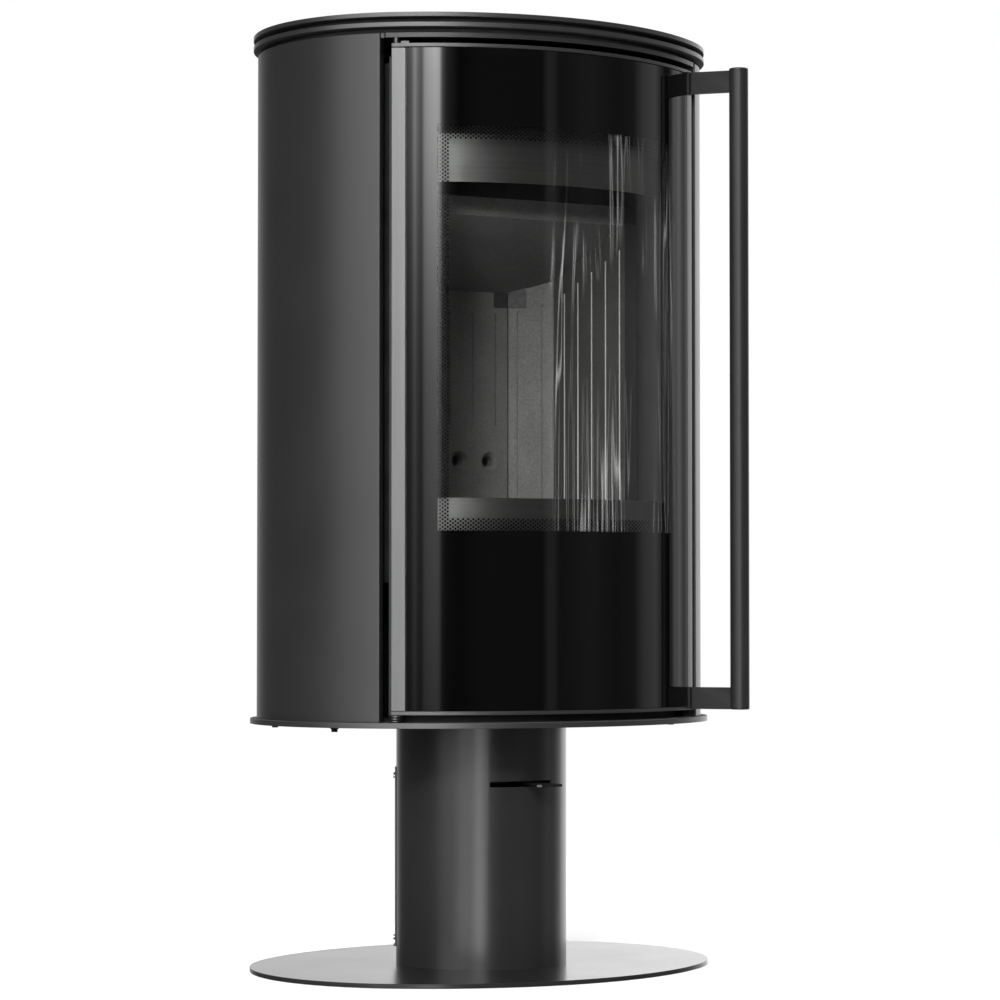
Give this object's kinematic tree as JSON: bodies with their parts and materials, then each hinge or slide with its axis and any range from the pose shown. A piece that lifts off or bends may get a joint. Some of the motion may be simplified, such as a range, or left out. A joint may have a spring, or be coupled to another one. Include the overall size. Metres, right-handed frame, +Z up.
{
  "type": "wood burning stove",
  "caption": "Oval steel wood stove on a round pillar, with a tall curved glass door, side hinge, long bar handle, air lever and flue collar.",
  "frame": {"origin": "centre of the floor plate's underside", "axes": "+Z up, the door faces -Y and its handle is on the +X side"},
  "size_m": [0.55, 0.4388, 1.074],
  "materials": {
    "painted_steel": "satin black stove paint",
    "heat_black_steel": "matt heat-proof black",
    "satin_steel": "satin, brushed lengthways",
    "bare_steel": "plain rolled",
    "fastener_steel": "zinc plated",
    "zinc_steel": "zinc plated sheet",
    "firebox_lining": "pressed mineral board",
    "grate_iron": "as cast",
    "door_glass": "clear ceramic glass with a black printed border",
    "seal_rope": "knitted glass-fibre rope",
    "magnet": "matt"
  },
  "bodies": {
    "stove": {"floor_plate": "painted_steel", "floor_plate_screws": "fastener_steel", "pillar_tube": "painted_steel", "pillar_foot_ring": "painted_steel", "pillar_head_ring": "painted_steel", "pillar_head_bolts": "fastener_steel", "pillar_rear_cover": "painted_steel", "rear_cover_screws": "fastener_steel", "air_duct": "zinc_steel", "damper_pivot": "fastener_steel", "bottom_plate": "painted_steel", "side_panel_bolts": "fastener_steel", "left_side_panel": "painted_steel", "right_side_panel": "painted_steel", "rear_panel": "painted_steel", "rear_panel_screws": "fastener_steel", "deck_plate": "painted_steel", "plate_spacers": "heat_black_steel", "middle_plate": "painted_steel", "top_plate": "painted_steel", "flue_collar": "heat_black_steel", "firebox_shell": "heat_black_steel", "firebox_bottom": "heat_black_steel", "firebox_top": "heat_black_steel", "deck_standoffs": "fastener_steel", "front_frame": "heat_black_steel", "ash_fascia": "heat_black_steel", "air_box": "heat_black_steel", "ash_chamber": "heat_black_steel", "ash_pan": "zinc_steel", "rear_air_duct": "heat_black_steel", "lining_back": "firebox_lining", "lining_corner_left": "firebox_lining", "lining_corner_right": "firebox_lining", "lining_side_left": "firebox_lining", "lining_side_right": "firebox_lining", "hearth_left": "firebox_lining", "hearth_right": "firebox_lining", "grate": "grate_iron", "baffle_slab": "firebox_lining", "baffle_brackets": "fastener_steel", "smoke_deflector": "heat_black_steel", "air_wash_plate": "bare_steel", "log_guard": "bare_steel", "hinge_pins": "fastener_steel", "hinge_washers": "fastener_steel", "catch_magnet": "magnet"},
    "door": {"door_top_rail": "painted_steel", "door_bottom_rail": "painted_steel", "door_left_stile": "satin_steel", "door_right_stile": "satin_steel", "door_glass": "door_glass", "door_inner_frame": "heat_black_steel", "rope_gasket": "seal_rope", "glass_clips": "fastener_steel", "catch_strike": "fastener_steel", "handle_tube": "painted_steel", "handle_end_caps": "painted_steel", "handle_brackets": "painted_steel"},
    "air_lever": {"damper_disc": "zinc_steel"}
  },
  "joints": [
    {"name": "door_hinge", "type": "hinge", "parent": "stove", "child": "door", "pos_m": [-0.18998, -0.14319, 0.2975], "axis": [0, 0, 1], "range_deg": [-110, 0]},
    {"name": "air_lever_pivot", "type": "hinge", "parent": "stove", "child": "air_lever", "pos_m": [0, 0, 0.213], "axis": [0, 0, 1], "range_deg": [-18.5, 8]}
  ]
}
